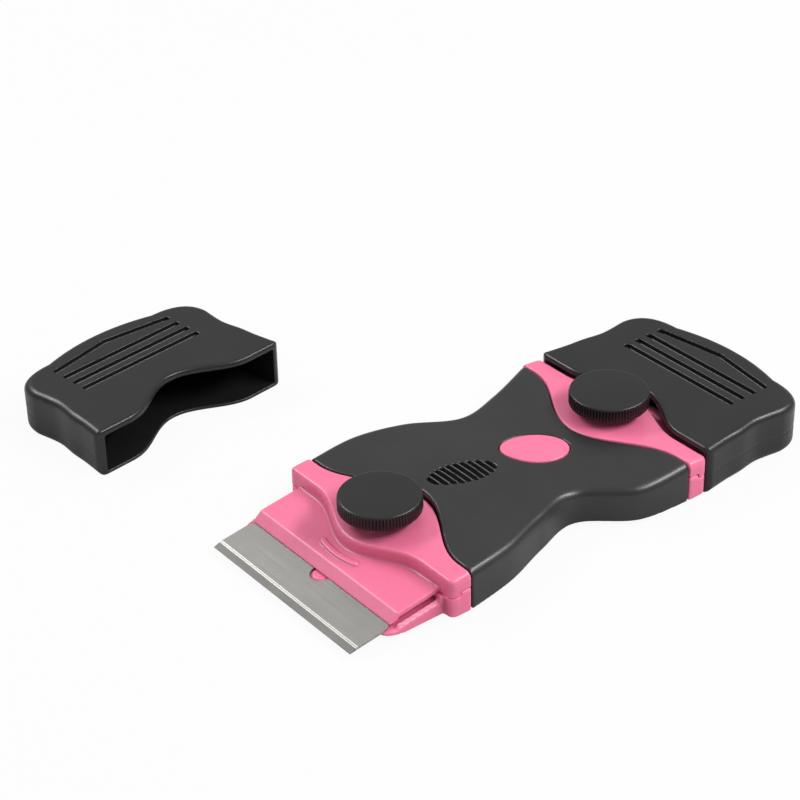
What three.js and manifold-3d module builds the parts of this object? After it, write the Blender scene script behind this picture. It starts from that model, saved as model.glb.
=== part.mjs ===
// Double-ended adhesive scraper: a waisted grip with a razor-blade head at each end.
// Each head clamps its blade under a moulded jaw, drawn down by a knurled thumb knob.
// A push-on cap guards each blade: the rear cap is on, the front cap lies beside the tool.
// Millimetres, +Z up, X along the tool with the bare blade at -X, base plate on z = 0.

import * as THREE from 'three';
import { mergeVertices } from 'three/addons/utils/BufferGeometryUtils.js';
import Module from 'manifold-3d';

const wasm = await Module();
wasm.setup();

// Driving dimensions: blade
const BLADE_WIDTH = 40;
const BLADE_THICKNESS = 0.5;
const BLADE_TANG_WIDTH = 32;
const BLADE_CORNER = 2.5;
const BLADE_REACH = 8.5;
const BLADE_GRIND = 1.8;
const BLADE_EDGE = 0.08;
const PEG_DIAMETER = 2.6;
const PEG_PLAY = 0.2;

// Driving dimensions: head, measured outwards from the knob axis unless named otherwise
const KNOB_SPACING = 54.26;
const SEAM_TIP = -9.6;
const SEAM_REACH = 20;
const WING_REAR = -1.5;
const WING_LENGTH = 4.45;
const WING_CORNER = 0.7;
const COLLAR_BULGE = 5.9;
const BULGE_REACH = 15;
const COLLAR_CREST = -3.1;
const COLLAR_RADIUS = 45;
const COLLAR_EDGE = 0.9;
const STOP_REACH = 3.7;
const JAW_CREST = 11.8;
const JAW_FRONT = 13.7;
const JAW_THICKNESS = 1.55;
const JAW_SLIT = 0.5;
const JAW_SLIT_DEPTH = 1.3;
const JAW_SLIT_END = 1.9;
const BED_REACH = 15.8;
const BED_CORNER = 2.8;
const BED_LIP = 0.35;
const BED_RAMP = 5;
const RAIL_WIDTH = 0.95;
const RAIL_HEIGHT = 0.55;
const HEAD_TILT = THREE.MathUtils.degToRad(8);
const RIB_REACH = 9.4;
const RIB_RADIUS = 24;
const RIB_SPREAD = 10.4;
const RIB_WIDTH = 0.9;
const RIB_HEIGHT = 0.3;
const TAB_LENGTH = 2.2;
const TAB_HEIGHT = 0.8;
const TAB_DEPTH = 1;

// Driving dimensions: knob, stud and nut
const KNOB_DIAMETER = 15.2;
const KNOB_HEIGHT = 3.3;
const KNOB_RIDGES = 60;
const KNOB_RIDGE_DEPTH = 0.32;
const KNOB_CROWN = 0.25;
const KNOB_ROOF = 1;
const HUB_DIAMETER = 9.4;
const HUB_HEIGHT = 0.9;
const PAD_PROUD = 0.45;
const STUD_DIAMETER = 4;
const NUT_FLATS = 7;
const NUT_HEIGHT = 2.2;
const NUT_WEB = 1.4;
const RING_DIAMETER = 7;
const RING_HEIGHT = 0.6;

// Driving dimensions: heights and the grip
const BASE_PROUD = 0.9;
const WING_HEIGHT = 8;
const PARTING_HEIGHT = 4;
const GRIP_WALL = 1.8;
const GRIP_EDGE = 2.6;
const FRONT_LOBE_X = -15;
const FRONT_LOBE_NEAR = 21.4;
const FRONT_LOBE_FAR = 24.6;
const FRONT_FLANK_X = -5;
const FRONT_FLANK_NEAR = 17.85;
const FRONT_FLANK_FAR = 22.4;
const WAIST_X = 4.8;
const WAIST_NEAR = 15.5;
const WAIST_FAR = 17.3;
const REAR_LOBE_X = 14.5;
const REAR_LOBE_NEAR = 22.1;
const REAR_LOBE_FAR = 19.2;
const EDGE_DIP_FRONT = 0.35;
const EDGE_DIP_WAIST = 1.1;
const EDGE_DIP_REAR = 0.9;
const FAR_DIP_SHARE = 0.4;
const CROWN_FRONT = 1.2;
const CROWN_WAIST = 0.9;
const CROWN_REAR = 0.5;
const CROWN_END = 0.1;
const SPINE_WIDTH = 13;
const SPINE_HEIGHT = 2.6;
const BASE_THICKNESS = 2;
const BASE_CHAMFER = 0.4;
const BOSS_X = 11;
const BOSS_Y = 9.8;
const BOSS_DIAMETER = 4.8;
const SCREW_DIAMETER = 2.1;
const SCREW_LENGTH = 6;
const SCREW_HEAD_DIAMETER = 4;
const SCREW_HEAD_HEIGHT = 0.9;
const HEAD_SINK = 0.3;

// Driving dimensions: grille and oval inlay on the grip
const GRILLE_X = -8.7;
const GRILLE_LENGTH = 13.4;
const GRILLE_WIDTH = 7.4;
const GRILLE_SLOTS = 10;
const SLOT_WIDTH = 0.85;
const SLOT_DEPTH = 1.2;
const OVAL_X = 8.4;
const OVAL_LENGTH = 13.4;
const OVAL_WIDTH = 9.6;
const OVAL_TURN = THREE.MathUtils.degToRad(-33);
const OVAL_DEPTH = 0.9;

// Driving dimensions: cap
const CAP_LENGTH = 29.2;
const CAP_HEIGHT = 9.9;
const CAP_WALL = 1;
const CAP_FLOOR = 0.8;
const CAP_ROOF = 1.4;
const CAP_FLARE = 1;
const CAP_EDGE = 1.5;
const CAP_WAIST = 0.65;
const CAP_WAIST_X = 14.2;
const CAP_THROAT_X = 5.2;
const CAP_THROAT = 0.3;
const CAP_CORNER = 9;
const CAP_END_BOW = 2.1;
const CAP_GROOVES = 4;
const GROOVE_FIRST = 15.4;
const GROOVE_PITCH = 3;
const GROOVE_LENGTH = 30;
const GROOVE_WIDTH = 1.1;
const GROOVE_DEPTH = 0.55;
const GROOVE_BEND = 1.6;
const LOOSE_CAP_X = -29.1;
const LOOSE_CAP_Y = 57;
const LOOSE_CAP_TURN = THREE.MathUtils.degToRad(97.6);

// Clearances
const SEAM_GAP = 0.3;
const PARTING_GAP = 0.1;
const SEAT_GAP = 0.05;
const SIDE_PLAY = 0.25;
const CAP_PLAY = 0.2;
const CAP_MOUTH_GAP = 0.8;
const FIT_GAP = 0.15;
const BORE_GAP = 0.3;
const EDGE_CLEARANCE = 0.3;

// Facet counts
const ROUND_SIDES = 18;
const CURVE_STEPS = 16;
const LOFT_STEPS = 22;
const INNER_STEPS = 12;
const EDGE_STEPS = 3;
const CROWN_STEPS = 6;
const SLOT_STEPS = 2;
const OVAL_STEPS = 24;
const OVERCUT = 1;

// Heights and places that follow from the driving dimensions
const knobX = KNOB_SPACING / 2;
const wingRear = knobX + WING_REAR;
const wingFront = wingRear + WING_LENGTH;
const seamTip = knobX + SEAM_TIP;
const jawFront = knobX + JAW_FRONT;
const jawCrest = knobX + JAW_CREST;
const bedFront = knobX + BED_REACH;
const bladeStop = knobX + STOP_REACH;
const bladeEdge = jawFront + BLADE_REACH;
const bladeHalf = BLADE_WIDTH / 2;
const railInner = bladeHalf + SIDE_PLAY;
const bedHalf = railInner + RAIL_WIDTH;
const capHalf = bedHalf + CAP_PLAY + CAP_WALL;
const mouthHalf = capHalf + CAP_FLARE;
const wingHalf = mouthHalf - SEAT_GAP;
const skirtZ = BASE_PROUD;
const partingZ = skirtZ + PARTING_HEIGHT;
const collarTop = skirtZ + WING_HEIGHT;
const padTop = collarTop + PAD_PROUD;
const knobBottom = padTop + SEAT_GAP + HUB_HEIGHT;
const knobTop = knobBottom + KNOB_HEIGHT;
const nutCeiling = partingZ - NUT_WEB;
const capMouth = wingFront + CAP_MOUTH_GAP;
const capEnd = capMouth + CAP_LENGTH;

// The sloped bed that the blade lies on, as a height over X
function bed(x) {
  return CAP_FLOOR + EDGE_CLEARANCE + (bladeEdge - x) * Math.tan(HEAD_TILT);
}

// Underside of the clamp jaw, just above the blade
function jawUnder(x) {
  return bed(x) + BLADE_THICKNESS + 2 * SEAT_GAP;
}

// Raised-cosine swell, 1 on the centreline and 0 beyond its reach
function swell(y, reach) {
  if (Math.abs(y) >= reach) return 0;
  return Math.cos((Math.PI * y) / (2 * reach)) ** 2;
}

// How far a wing's rounded outer corner has drawn in at Y
function cornerDrop(y) {
  const over = Math.max(0, Math.abs(y) - (wingHalf - WING_CORNER));
  return WING_CORNER - Math.sqrt(Math.max(0, WING_CORNER ** 2 - over ** 2));
}

// Seam between grip and collar, and the collar's step down to the jaw, as X over Y
function seamX(y) {
  return wingRear - (wingRear - seamTip) * swell(y, SEAM_REACH);
}
function stepX(y) {
  return wingFront + COLLAR_BULGE * swell(y, BULGE_REACH);
}

// Closed solid from a three.js geometry, and geometry back from a solid
function solid(geometry) {
  const bare = geometry.clone();
  bare.deleteAttribute('normal');
  bare.deleteAttribute('uv');
  const merged = mergeVertices(bare, 1e-4);
  const index = merged.index.array;
  const triangles = [];
  for (let i = 0; i < index.length; i += 3) {
    const [a, b, c] = [index[i], index[i + 1], index[i + 2]];
    if (a !== b && b !== c && c !== a) triangles.push(a, b, c);
  }
  return new wasm.Manifold(new wasm.Mesh({
    numProp: 3,
    vertProperties: merged.attributes.position.array,
    triVerts: Uint32Array.from(triangles),
  }));
}
function geometryOf(body) {
  const mesh = body.getMesh();
  const geometry = new THREE.BufferGeometry();
  geometry.setAttribute('position', new THREE.BufferAttribute(mesh.vertProperties, 3));
  geometry.setIndex(new THREE.BufferAttribute(mesh.triVerts, 1));
  geometry.computeVertexNormals();
  return geometry;
}

// Upright prism over a plan shape, and one whose top and bottom edges are rounded
function prism(shape, low, high, arcSteps = CURVE_STEPS / 2) {
  const geometry = new THREE.ExtrudeGeometry(shape, {
    depth: high - low,
    bevelEnabled: false,
    curveSegments: arcSteps,
  });
  return solid(geometry.translate(0, 0, low));
}
function softPrism(shape, low, high, round, steps) {
  const geometry = new THREE.ExtrudeGeometry(shape, {
    depth: high - low - 2 * round,
    bevelThickness: round,
    bevelSize: round,
    bevelOffset: -round,
    bevelSegments: steps,
    curveSegments: CURVE_STEPS / 4,
  });
  return solid(geometry.translate(0, 0, low + round));
}

// Prism across the tool: an outline of [x, z] points spanning y = low to high
function slab(points, low, high) {
  const shape = new THREE.Shape(points.map(([x, z]) => new THREE.Vector2(x, z)));
  const geometry = new THREE.ExtrudeGeometry(shape, { depth: high - low, bevelEnabled: false });
  return solid(geometry.rotateX(Math.PI / 2).translate(0, high, 0));
}
function box(x0, x1, y0, y1, z0, z1) {
  const geometry = new THREE.BoxGeometry(x1 - x0, y1 - y0, z1 - z0);
  return solid(geometry.translate((x0 + x1) / 2, (y0 + y1) / 2, (z0 + z1) / 2));
}

// Upright cylinder and prism on a regular polygon
function cylinder(diameter, x, y, low, high) {
  const radius = diameter / 2;
  const geometry = new THREE.CylinderGeometry(radius, radius, high - low, ROUND_SIDES);
  return solid(geometry.rotateX(Math.PI / 2).translate(x, y, (low + high) / 2));
}
function hexagon(flats, x, low, high) {
  const radius = flats / Math.sqrt(3);
  const geometry = new THREE.CylinderGeometry(radius, radius, high - low, 6);
  return solid(geometry.rotateX(Math.PI / 2).translate(x, 0, (low + high) / 2));
}

// Turned piece from [radius, z] points, starting and ending on the axis
function turned(points, x, y) {
  const profile = points.map(([radius, z]) => new THREE.Vector2(radius, z));
  const geometry = new THREE.LatheGeometry(profile, ROUND_SIDES);
  return solid(geometry.rotateX(Math.PI / 2).translate(x, y, 0));
}

// Loft through flat rings of equal count, each a list of points that turns left as seen from its end
function loft(rings) {
  const count = rings[0].length;
  const positions = rings.flat().flatMap((point) => point.toArray());
  const triangles = [];
  for (let ring = 0; ring + 1 < rings.length; ring += 1) {
    for (let i = 0; i < count; i += 1) {
      const a = ring * count + i;
      const b = ring * count + ((i + 1) % count);
      triangles.push(a, b, b + count, a, b + count, a + count);
    }
  }
  const last = (rings.length - 1) * count;
  for (let i = 1; i + 1 < count; i += 1) {
    triangles.push(0, i + 1, i, last, last + i, last + i + 1);
  }
  const geometry = new THREE.BufferGeometry();
  geometry.setAttribute('position', new THREE.Float32BufferAttribute(positions, 3));
  geometry.setIndex(triangles);
  return solid(geometry);
}

// Evenly spaced values from low to high
function span(low, high, steps) {
  return Array.from({ length: steps + 1 }, (_, i) => low + ((high - low) * i) / steps);
}

// Plan shape between two curves of X over Y
function band(left, right, half) {
  const ys = span(-half, half, CURVE_STEPS * 2);
  const points = ys.map((y) => new THREE.Vector2(right(y), y));
  const back = ys.reverse().map((y) => new THREE.Vector2(left(y), y));
  return new THREE.Shape(points.concat(back));
}

// Half turn about Z, which makes the front head from the rear one
function halfTurn(body) {
  return solid(geometryOf(body).rotateZ(Math.PI));
}

// Smooth values along the grip, through its ends, lobes and waist
const stationX = [-wingRear, FRONT_LOBE_X, FRONT_FLANK_X, WAIST_X, REAR_LOBE_X, wingRear];
function along(values) {
  const curve = new THREE.SplineCurve(stationX.map((x, i) => new THREE.Vector2(x, values[i])));
  const samples = curve.getPoints(LOFT_STEPS * 4);
  return (x) => {
    const next = samples.findIndex((sample) => sample.x >= x);
    if (next <= 0) return next === 0 ? samples[0].y : samples.at(-1).y;
    const [a, b] = [samples[next - 1], samples[next]];
    return THREE.MathUtils.mapLinear(x, a.x, b.x, a.y, b.y);
  };
}
const nearHalf = along([wingHalf, FRONT_LOBE_NEAR, FRONT_FLANK_NEAR, WAIST_NEAR, REAR_LOBE_NEAR, wingHalf]);
const farHalf = along([wingHalf, FRONT_LOBE_FAR, FRONT_FLANK_FAR, WAIST_FAR, REAR_LOBE_FAR, wingHalf]);
const flankDip = (EDGE_DIP_FRONT + EDGE_DIP_WAIST) / 2;
const edgeDip = along([0, EDGE_DIP_FRONT, flankDip, EDGE_DIP_WAIST, EDGE_DIP_REAR, 0]);
const crownRise = along([CROWN_END, CROWN_FRONT, CROWN_FRONT, CROWN_WAIST, CROWN_REAR, CROWN_END]);

// Level of the grip's top before its crown, at X and a share t across from near (-1) to far (1)
function gripLevel(x, t) {
  return collarTop - edgeDip(x) * (1 - (1 - FAR_DIP_SHARE) * (t + 1) / 2);
}

// Cross-section of the grip at one X: upright sides, rounded shoulders and a crowned top
function gripRing(x, inset, low) {
  const near = nearHalf(x) - inset;
  const far = farHalf(x) - inset;
  const edge = (t) => gripLevel(x, t) - inset;
  const round = GRIP_EDGE - inset / 2;
  const ring = [new THREE.Vector3(x, far, low)];
  for (const angle of span(0, Math.PI / 2, EDGE_STEPS)) {
    const y = far - round + round * Math.cos(angle);
    ring.push(new THREE.Vector3(x, y, edge(1) - round + round * Math.sin(angle)));
  }
  for (const t of span(1, -1, CROWN_STEPS).slice(1, -1)) {
    const y = t > 0 ? t * (far - round) : t * (near - round);
    ring.push(new THREE.Vector3(x, y, edge(t) + crownRise(x) * swell(t, 1)));
  }
  for (const angle of span(Math.PI / 2, Math.PI, EDGE_STEPS)) {
    const y = round - near + round * Math.cos(angle);
    ring.push(new THREE.Vector3(x, y, edge(-1) - round + round * Math.sin(angle)));
  }
  ring.push(new THREE.Vector3(x, -near, low));
  return ring;
}
function gripLoft(inset, low, steps = INNER_STEPS) {
  return loft(span(-wingRear, wingRear, steps).map((x) => gripRing(x, inset, low)));
}

// Plan of the grip's ends: between the two seams, drawn in by a distance
function betweenSeams(drawnIn) {
  return band((y) => drawnIn - seamX(y), (y) => seamX(y) - drawnIn, wingHalf + OVERCUT);
}

// Capsule-shaped plan for a slot along Y
function slotShape(x, half, width) {
  const radius = width / 2;
  const shape = new THREE.Shape();
  shape.absarc(x, half - radius, radius, 0, Math.PI, false);
  shape.absarc(x, radius - half, radius, Math.PI, 2 * Math.PI, false);
  return shape;
}

function ovalShape(grow) {
  const long = OVAL_LENGTH / 2 + grow;
  const short = OVAL_WIDTH / 2 + grow;
  const rim = new THREE.EllipseCurve(OVAL_X, 0, long, short, 0, 2 * Math.PI, false, OVAL_TURN);
  return new THREE.Shape(rim.getPoints(OVAL_STEPS).slice(0, -1));
}

// Top surface of the grip sunk by a depth, as a tool that keeps what lies above it
function aboveGrip(depth, region) {
  return prism(region, partingZ, knobTop).subtract(gripLoft(depth, -OVERCUT));
}

const bosses = [-1, 1].flatMap((sx) => [-1, 1].map((sy) => [sx * BOSS_X, sy * BOSS_Y]));
const seatZ = BASE_THICKNESS + SEAT_GAP;
const holeTop = HEAD_SINK + SCREW_LENGTH + FIT_GAP;

// Upper grip: a hollow moulded shell with end walls along the seams and four screw bosses
function upperGrip() {
  const shell = gripLoft(0, skirtZ, LOFT_STEPS).intersect(prism(betweenSeams(SEAM_GAP / 2), skirtZ, knobTop));
  const inside = gripLoft(GRIP_WALL, -OVERCUT)
    .intersect(prism(betweenSeams(SEAM_GAP / 2 + GRIP_WALL), -OVERCUT, knobTop));
  let grip = shell.subtract(inside);
  for (const [x, y] of bosses) {
    const post = cylinder(BOSS_DIAMETER, x, y, seatZ, knobTop);
    const hole = cylinder(SCREW_DIAMETER + FIT_GAP, x, y, 0, holeTop);
    grip = grip.add(post.intersect(gripLoft(GRIP_WALL / 2, 0))).subtract(hole);
  }
  const notchHalf = SPINE_WIDTH / 2 + SEAM_GAP;
  grip = grip.subtract(box(-wingRear, wingRear, -notchHalf, notchHalf, 0, partingZ + SEAM_GAP));
  const pitch = GRILLE_LENGTH / GRILLE_SLOTS;
  for (let i = 0; i < GRILLE_SLOTS; i += 1) {
    const offset = (i + 0.5) * pitch - GRILLE_LENGTH / 2;
    const half = (GRILLE_WIDTH / 2) * Math.sqrt(1 - (2 * offset / GRILLE_LENGTH) ** 2);
    const x = GRILLE_X + offset;
    const floor = gripLevel(x, 0) + crownRise(x) - SLOT_DEPTH;
    grip = grip.subtract(prism(slotShape(x, half, SLOT_WIDTH), floor, knobTop, SLOT_STEPS));
  }
  return grip.subtract(aboveGrip(OVAL_DEPTH, ovalShape(FIT_GAP)));
}

// Oval inlay: fills its recess up to the crown of the grip
function ovalInlay() {
  return prism(ovalShape(0), partingZ, knobTop)
    .intersect(gripLoft(0, skirtZ, LOFT_STEPS))
    .subtract(gripLoft(OVAL_DEPTH - SEAT_GAP, -OVERCUT));
}

// Base plate: closes the grip from below and stands proud as the resting face
function basePlate() {
  const inset = GRIP_WALL + FIT_GAP;
  const ends = SEAM_GAP / 2 + inset;
  const xs = span(-wingRear, wingRear, INNER_STEPS);
  const outline = xs.map((x) => new THREE.Vector2(x, inset - nearHalf(x)));
  outline.push(...xs.reverse().map((x) => new THREE.Vector2(x, farHalf(x) - inset)));
  const shape = new THREE.Shape(outline);
  let plate = softPrism(shape, 0, BASE_THICKNESS, BASE_CHAMFER, 1)
    .intersect(prism(betweenSeams(ends), 0, BASE_THICKNESS));
  for (const [x, y] of bosses) {
    const headRoom = cylinder(SCREW_HEAD_DIAMETER + 2 * FIT_GAP, x, y, -OVERCUT, HEAD_SINK + SCREW_HEAD_HEIGHT);
    const hole = cylinder(SCREW_DIAMETER + BORE_GAP, x, y, 0, BASE_THICKNESS + OVERCUT);
    plate = plate.subtract(headRoom).subtract(hole);
  }
  return plate;
}

// Case screw: pan head under the base plate, shank up into a boss
function caseScrew([x, y]) {
  const head = SCREW_HEAD_DIAMETER / 2;
  const shank = SCREW_DIAMETER / 2;
  const neck = HEAD_SINK + SCREW_HEAD_HEIGHT - SEAT_GAP;
  const tip = HEAD_SINK + SCREW_LENGTH;
  return turned([
    [0, HEAD_SINK], [head * 0.6, HEAD_SINK], [head, HEAD_SINK + SCREW_HEAD_HEIGHT / 2],
    [head, neck], [shank, neck], [shank, tip - shank], [0, tip],
  ], x, y);
}

// Plan of a wing block: seam at the back, straight front, rounded outer corners
function wingPlan() {
  const half = wingHalf;
  const ys = span(-half, half, CURVE_STEPS * 2);
  const outline = ys.map((y) => new THREE.Vector2(wingFront - cornerDrop(y), y));
  outline.push(...ys.reverse().map((y) => new THREE.Vector2(seamX(y) + SEAM_GAP / 2, y)));
  return new THREE.Shape(outline);
}

// Small locating tab on the outside of a wing, at the seam
function tab(side, grow) {
  const from = wingRear + SEAM_GAP / 2;
  const to = from + TAB_LENGTH + grow;
  const top = partingZ + TAB_HEIGHT + grow;
  const outer = side * (wingHalf + grow);
  const inner = side * (wingHalf - TAB_DEPTH - grow);
  const bend = TAB_HEIGHT / 2;
  const low = partingZ - PARTING_GAP;
  const points = [[from - grow, low], [to, low], [to, top - bend], [to - bend, top], [from - grow, top]];
  return slab(points, Math.min(inner, outer), Math.max(inner, outer));
}

// Rear half of the lower frame: wing block, sloped blade bed with side rails, peg and nut pocket
function lowerHead() {
  const frameTop = partingZ - PARTING_GAP / 2;
  const under = CAP_FLOOR + EDGE_CLEARANCE;
  let head = prism(wingPlan(), skirtZ, frameTop);
  const bedPlan = new THREE.Shape();
  bedPlan.moveTo(knobX, -bedHalf);
  bedPlan.lineTo(bedFront - BED_CORNER, -bedHalf);
  bedPlan.quadraticCurveTo(bedFront - BED_CORNER / 4, -bedHalf + BED_CORNER / 4, bedFront, BED_CORNER - bedHalf);
  bedPlan.lineTo(bedFront, bedHalf - BED_CORNER);
  bedPlan.quadraticCurveTo(bedFront - BED_CORNER / 4, bedHalf - BED_CORNER / 4, bedFront - BED_CORNER, bedHalf);
  bedPlan.lineTo(knobX, bedHalf);
  const bedSlab = slab([
    [knobX, under], [bedFront - BED_RAMP, under], [bedFront, bed(bedFront) - BED_LIP],
    [bedFront, bed(bedFront)], [bladeStop, bed(bladeStop)], [bladeStop, frameTop], [knobX, frameTop],
  ], -bedHalf, bedHalf);
  head = head.add(bedSlab.intersect(prism(bedPlan, 0, knobTop)));
  const railEnd = jawFront - JAW_SLIT_END / 2;
  for (const side of [-1, 1]) {
    const rail = slab([
      [wingRear + WING_CORNER, under], [railEnd, under],
      [railEnd, bed(railEnd) + RAIL_HEIGHT], [bladeStop, bed(bladeStop) + RAIL_HEIGHT],
      [wingRear + WING_CORNER, bed(bladeStop) + RAIL_HEIGHT],
    ], side > 0 ? railInner : -railInner - RAIL_WIDTH / 2, side > 0 ? railInner + RAIL_WIDTH / 2 : -railInner);
    head = head.add(rail).add(tab(side, 0));
  }
  const peg = cylinder(PEG_DIAMETER, jawFront, 0, under, bed(jawFront) + BLADE_THICKNESS * 0.8);
  head = head.add(peg);
  head = head.subtract(hexagon(NUT_FLATS + 2 * FIT_GAP, knobX, 0, nutCeiling));
  return head.subtract(cylinder(STUD_DIAMETER + 2 * BORE_GAP, knobX, 0, 0, knobTop));
}

// Lower frame: one moulding with both heads, joined by a spine through the grip
function lowerFrame() {
  const spineHalf = SPINE_WIDTH / 2;
  const top = partingZ - PARTING_GAP / 2;
  const spine = box(-knobX + NUT_FLATS, knobX - NUT_FLATS, -spineHalf, spineHalf, top - SPINE_HEIGHT, top);
  const rear = lowerHead();
  return rear.add(halfTurn(rear)).add(spine);
}

// Cross-section of the collar at one Y: arched top with rounded front and rear edges
function collarRing(y) {
  const rear = seamX(y) + SEAM_GAP / 2;
  const corner = cornerDrop(y);
  const front = stepX(y) - corner;
  const low = partingZ + PARTING_GAP / 2;
  const crest = knobX + COLLAR_CREST;
  const top = (x) => collarTop - corner - (x - crest) ** 2 / (2 * COLLAR_RADIUS);
  const ring = [new THREE.Vector3(rear, y, low)];
  const soft = COLLAR_EDGE / 2;
  for (const angle of span(Math.PI, Math.PI / 2, 2)) {
    const x = rear + soft + soft * Math.cos(angle);
    ring.push(new THREE.Vector3(x, y, top(rear + soft) - soft + soft * Math.sin(angle)));
  }
  for (const x of span(rear + soft, front - COLLAR_EDGE, CROWN_STEPS).slice(1, -1)) {
    ring.push(new THREE.Vector3(x, y, top(x)));
  }
  for (const angle of span(Math.PI / 2, 0, EDGE_STEPS)) {
    const x = front - COLLAR_EDGE + COLLAR_EDGE * Math.cos(angle);
    ring.push(new THREE.Vector3(x, y, top(front - COLLAR_EDGE) - COLLAR_EDGE * (1 - Math.sin(angle))));
  }
  ring.push(new THREE.Vector3(front, y, low));
  return ring;
}

// Rear clamp: collar with wings, and the jaw that presses on the blade
function rearClamp() {
  const low = partingZ + PARTING_GAP / 2;
  const rise = (x) => jawUnder(x) + JAW_THICKNESS;
  const collar = loft(span(-wingHalf, wingHalf, CURVE_STEPS * 2).map(collarRing));
  const jaw = slab([
    [knobX, low], [bladeStop, low], [bladeStop, jawUnder(bladeStop)], [jawFront, jawUnder(jawFront)],
    [jawCrest, rise(jawCrest)], [wingFront, rise(wingFront)], [knobX, rise(wingFront)],
  ], -bladeHalf, bladeHalf);
  let clamp = collar.add(jaw);
  const slitEnd = jawFront - JAW_SLIT_END;
  for (const side of [-1, 1]) {
    const edges = [side * (bladeHalf - JAW_SLIT_DEPTH), side * (bladeHalf + OVERCUT)].sort((a, b) => a - b);
    const slit = slab([
      [wingFront, bed(bladeStop)], [slitEnd, bed(slitEnd)],
      [slitEnd, jawUnder(slitEnd) + JAW_SLIT], [wingFront, jawUnder(wingFront) + JAW_SLIT],
    ], edges[0], edges[1]);
    clamp = clamp.subtract(slit).subtract(tab(side, FIT_GAP));
  }
  const ribCentre = knobX + RIB_REACH - RIB_RADIUS;
  const ribAngle = RIB_SPREAD / (2 * RIB_RADIUS);
  const rib = new THREE.Shape();
  rib.absarc(ribCentre, 0, RIB_RADIUS + RIB_WIDTH / 2, -ribAngle, ribAngle, false);
  rib.absarc(ribCentre, 0, RIB_RADIUS - RIB_WIDTH / 2, ribAngle, -ribAngle, true);
  const ribTop = (x) => rise(x) + RIB_HEIGHT;
  const ribSlab = slab([
    [knobX, rise(knobX) - JAW_THICKNESS / 2], [jawFront, rise(jawFront) - JAW_THICKNESS / 2],
    [jawFront, ribTop(jawFront)], [knobX, ribTop(knobX)],
  ], -RIB_SPREAD, RIB_SPREAD);
  clamp = clamp.add(prism(rib, partingZ - OVERCUT, knobTop).intersect(ribSlab));
  clamp = clamp.add(cylinder(HUB_DIAMETER, knobX, 0, low, padTop));
  clamp = clamp.subtract(cylinder(STUD_DIAMETER + 2 * BORE_GAP, knobX, 0, 0, knobTop));
  const ringRoom = cylinder(RING_DIAMETER + 2 * BORE_GAP, knobX, 0, 0, low + RING_HEIGHT + 2 * SEAT_GAP);
  return clamp.subtract(ringRoom);
}

// Knob: knurled rim, slightly crowned top, hub below and a bore for the stud
function rearKnob() {
  const radius = KNOB_DIAMETER / 2;
  const points = [];
  for (let i = 0; i < KNOB_RIDGES * 2; i += 1) {
    const angle = (i * Math.PI) / KNOB_RIDGES;
    const reach = i % 2 ? radius - KNOB_RIDGE_DEPTH : radius;
    points.push(new THREE.Vector2(knobX + reach * Math.cos(angle), reach * Math.sin(angle)));
  }
  const rimTop = knobTop - KNOB_CROWN - KNOB_RIDGE_DEPTH;
  const rim = prism(new THREE.Shape(points), knobBottom, rimTop);
  const hub = HUB_DIAMETER / 2;
  const body = turned([
    [0, padTop + SEAT_GAP], [hub, padTop + SEAT_GAP], [hub, knobBottom + KNOB_HEIGHT / 2],
    [radius - KNOB_RIDGE_DEPTH, knobBottom + KNOB_HEIGHT / 2], [radius - KNOB_RIDGE_DEPTH, rimTop],
    [radius - 2 * KNOB_RIDGE_DEPTH, knobTop - KNOB_CROWN], [radius / 2, knobTop - KNOB_CROWN / 4],
    [0, knobTop],
  ], knobX, 0);
  return rim.add(body).subtract(cylinder(STUD_DIAMETER + 2 * SEAT_GAP, knobX, 0, 0, knobTop - KNOB_ROOF));
}

// Stud of the knob, the nut it turns in, and the ring that makes the clamp rise with it
function rearStud() {
  const radius = STUD_DIAMETER / 2;
  const low = nutCeiling - NUT_HEIGHT;
  const high = knobTop - KNOB_ROOF - SEAT_GAP;
  return turned([[0, low], [radius * 0.8, low], [radius, low + radius / 4], [radius, high], [0, high]], knobX, 0);
}
function rearNut() {
  const nut = hexagon(NUT_FLATS, knobX, nutCeiling - SEAT_GAP - NUT_HEIGHT, nutCeiling - SEAT_GAP);
  return nut.subtract(cylinder(STUD_DIAMETER + 2 * FIT_GAP, knobX, 0, 0, knobTop));
}
function rearRing() {
  const low = partingZ + PARTING_GAP / 2 + SEAT_GAP;
  const ring = cylinder(RING_DIAMETER, knobX, 0, low, low + RING_HEIGHT);
  return ring.subtract(cylinder(STUD_DIAMETER + 2 * SEAT_GAP, knobX, 0, 0, knobTop));
}

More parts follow.
